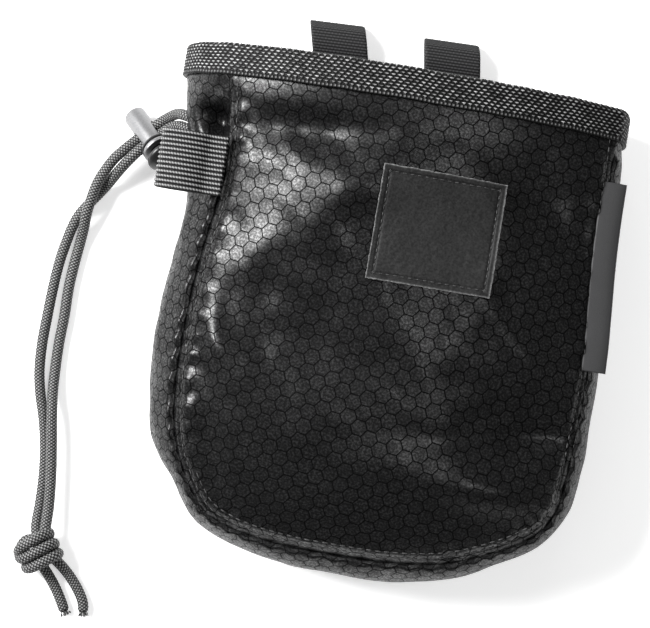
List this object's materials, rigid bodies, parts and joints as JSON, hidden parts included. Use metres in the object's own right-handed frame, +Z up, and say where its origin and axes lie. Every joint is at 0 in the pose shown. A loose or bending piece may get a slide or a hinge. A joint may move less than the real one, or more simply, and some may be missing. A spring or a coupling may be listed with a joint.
{
  "type": "climbing chalk bag",
  "caption": "Small round-bottomed cloth bag with a stiff bound mouth, belt loops, a brush loop and a knotted drawcord with a barrel lock.",
  "frame": {"origin": "point on the flat of the back panel, where the bag lies on the floor, about midway along the bag", "axes": "+X to the right of the front panel, +Y along the bag to its mouth, +Z up out of the front panel"},
  "size_m": [0.1995, 0.2281, 0.0617],
  "materials": {
    "ripstop": "black coated ripstop with a honeycomb grid, satin",
    "hem": "plain black cloth",
    "binding": "coarse black woven binding",
    "webbing": "dark ribbed webbing",
    "elastic": "ribbed elastic band",
    "patch": "bare woven patch, topstitched",
    "label": "bare folded woven label",
    "lock_metal": "glossy plated metal",
    "lock_black": "glossy black plastic",
    "cord": "dark braided cord"
  },
  "bodies": {
    "bag": {"front_panel": "ripstop", "back_panel": "ripstop", "gusset": "ripstop", "cord_hem": "hem", "rim_binding": "binding", "belt_loop_left": "webbing", "belt_loop_right": "webbing", "brush_loop": "elastic", "front_patch": "patch", "side_label": "label", "lock_barrel": "lock_metal", "lock_ring": "lock_black", "drawcord_strand_a": "cord", "drawcord_strand_b": "cord", "drawcord_knot": "cord", "drawcord_tail_a": "cord", "drawcord_tail_b": "cord"},
    "plunger": {"lock_plunger": "lock_black"}
  },
  "joints": [
    {"name": "plunger_press", "type": "slide", "parent": "bag", "child": "plunger", "axis": [-0.6177, 0.607, -0.5], "range_m": [0, 0.0022], "stiffness_N_per_m": 450, "springref_m": -0.002}
  ]
}
